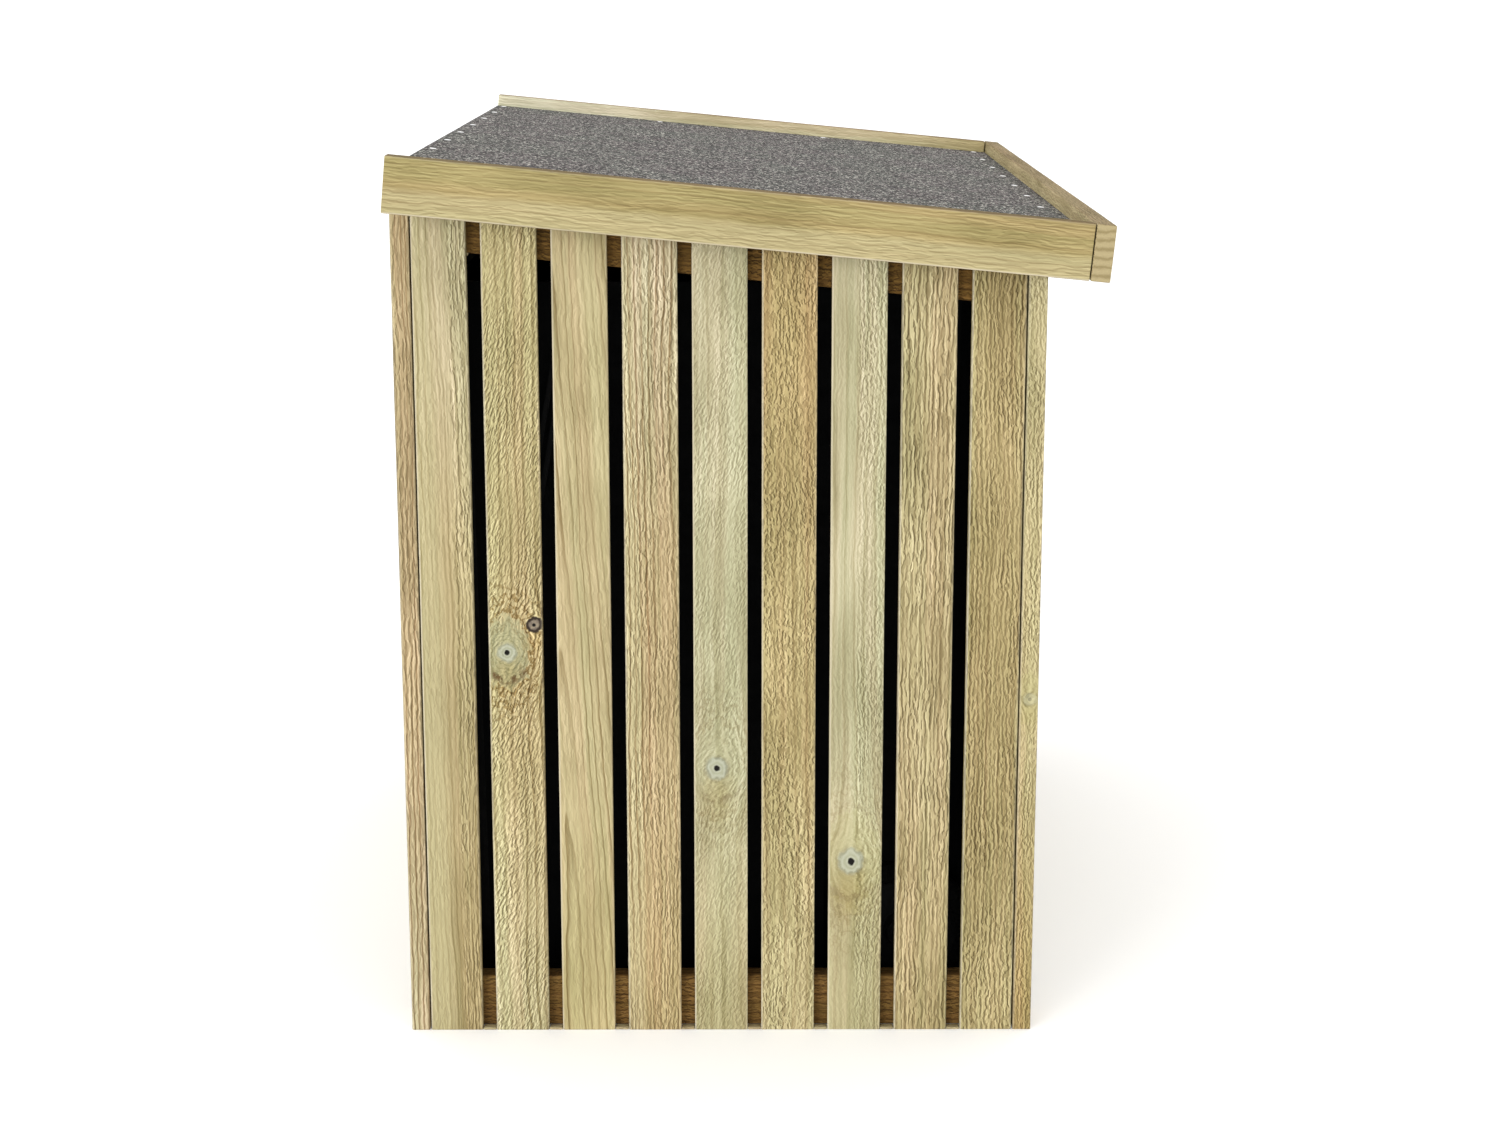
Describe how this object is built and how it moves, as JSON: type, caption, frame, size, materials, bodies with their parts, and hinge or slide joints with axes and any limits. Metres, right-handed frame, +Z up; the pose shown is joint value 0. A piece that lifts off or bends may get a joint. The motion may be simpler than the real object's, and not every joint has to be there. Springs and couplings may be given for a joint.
{
  "type": "wheeled-bin store",
  "caption": "Slatted timber litter-bin store with a hinged felted roof on slotted stays, a pair of bolted doors and open wheeled bins inside.",
  "frame": {"origin": "on the ground under the middle of the whole object's box", "axes": "+X to the right seen from the doors, +Y from the doors to the back wall, +Z up; the doors face -Y"},
  "size_m": [1.38, 0.92, 1.1965],
  "materials": {
    "slat_wood": "rough sawn, pressure treated",
    "frame_wood": "rough sawn, pressure treated",
    "trim_wood": "rough sawn, pressure treated",
    "felt": "mineral-faced roofing felt",
    "zinc_steel": "zinc plated",
    "black_steel": "satin black",
    "bin_plastic": "fine grained",
    "tyre": "matt"
  },
  "bodies": {
    "store": {"side_slat_left_1": "slat_wood", "side_slat_left_2": "slat_wood", "side_slat_left_3": "slat_wood", "side_slat_left_4": "slat_wood", "side_slat_left_5": "slat_wood", "side_slat_left_6": "slat_wood", "side_slat_left_7": "slat_wood", "side_slat_left_8": "slat_wood", "side_slat_left_9": "slat_wood", "side_rail_left_top": "frame_wood", "side_rail_left_bottom": "frame_wood", "front_head_rail": "frame_wood", "post_front_left": "frame_wood", "post_front_right": "frame_wood", "post_back_left": "frame_wood", "post_back_right": "frame_wood", "side_panel_right": "slat_wood", "back_panel": "slat_wood", "lid_hinge_base_left": "zinc_steel", "lid_hinge_base_right": "zinc_steel", "stay_guide_pin_left": "zinc_steel", "stay_guide_pin_right": "zinc_steel", "door_hinge_plate_left_bottom": "zinc_steel", "door_hinge_plate_left_top": "zinc_steel", "door_hinge_plate_right_bottom": "zinc_steel", "door_hinge_plate_right_top": "zinc_steel", "inner_bin_left": "bin_plastic", "inner_bin_right": "bin_plastic", "bin_axle_left": "zinc_steel", "bin_axle_right": "zinc_steel"},
    "lid": {"roof_trim_left": "trim_wood", "roof_trim_right": "trim_wood", "roof_trim_front": "trim_wood", "roof_deck": "slat_wood", "lid_batten_left": "slat_wood", "lid_batten_right": "slat_wood", "lid_batten_front": "slat_wood", "lid_batten_back": "slat_wood", "roof_felt": "felt", "lid_hinge_flap_left": "zinc_steel", "lid_hinge_flap_right": "zinc_steel", "stay_bracket_left": "black_steel", "stay_bracket_right": "black_steel"},
    "door_left": {"door_left": "slat_wood", "door_hinge_strap_left_bottom": "zinc_steel", "door_hinge_strap_left_top": "zinc_steel", "door_handle_left": "zinc_steel", "bolt_keeper": "zinc_steel"},
    "door_right": {"door_right": "slat_wood", "door_hinge_strap_right_bottom": "zinc_steel", "door_hinge_strap_right_top": "zinc_steel", "door_handle_right": "zinc_steel", "bolt_housing": "zinc_steel"},
    "bolt": {"bolt_rod": "zinc_steel"},
    "stay_left": {"lid_stay_left": "black_steel"},
    "stay_right": {"lid_stay_right": "black_steel"},
    "wheel_left_outer": {"bin_wheel_left_outer": "tyre"},
    "wheel_left_inner": {"bin_wheel_left_inner": "tyre"},
    "wheel_right_outer": {"bin_wheel_right_outer": "tyre"},
    "wheel_right_inner": {"bin_wheel_right_inner": "tyre"}
  },
  "joints": [
    {"name": "lid_hinge", "type": "hinge", "parent": "store", "child": "lid", "pos_m": [0, 0.45153, 1.14388], "axis": [-1, 0, 0], "range_deg": [0, 100]},
    {"name": "door_left_hinge", "type": "hinge", "parent": "store", "child": "door_left", "pos_m": [-0.5515, -0.3883, 0.5], "axis": [0, 0, -1], "range_deg": [0, 165]},
    {"name": "door_right_hinge", "type": "hinge", "parent": "store", "child": "door_right", "pos_m": [0.5515, -0.3883, 0.5], "axis": [0, 0, 1], "range_deg": [0, 165]},
    {"name": "bolt_slide", "type": "slide", "parent": "door_right", "child": "bolt", "axis": [-1, 0, 0], "range_m": [0, 0.03]},
    {"name": "stay_left_swing", "type": "hinge", "parent": "lid", "child": "stay_left", "pos_m": [-0.578, 0.21352, 1.11308], "axis": [-1, 0, 0], "range_deg": [-50.5, 0.5]},
    {"name": "stay_right_swing", "type": "hinge", "parent": "lid", "child": "stay_right", "pos_m": [0.578, 0.21352, 1.11308], "axis": [-1, 0, 0], "range_deg": [-50.5, 0.5]},
    {"name": "wheel_left_outer_spin", "type": "hinge", "parent": "store", "child": "wheel_left_outer", "pos_m": [-0.513, -0.213, 0.1], "axis": [1, 0, 0], "continuous": true},
    {"name": "wheel_left_inner_spin", "type": "hinge", "parent": "store", "child": "wheel_left_inner", "pos_m": [-0.059, -0.213, 0.1], "axis": [1, 0, 0], "continuous": true},
    {"name": "wheel_right_outer_spin", "type": "hinge", "parent": "store", "child": "wheel_right_outer", "pos_m": [0.513, -0.213, 0.1], "axis": [1, 0, 0], "continuous": true},
    {"name": "wheel_right_inner_spin", "type": "hinge", "parent": "store", "child": "wheel_right_inner", "pos_m": [0.059, -0.213, 0.1], "axis": [1, 0, 0], "continuous": true}
  ],
  "couplings": [
    {"joint": "stay_left_swing", "follows": "lid_hinge", "ratio": -0.5},
    {"joint": "stay_right_swing", "follows": "lid_hinge", "ratio": -0.5}
  ]
}
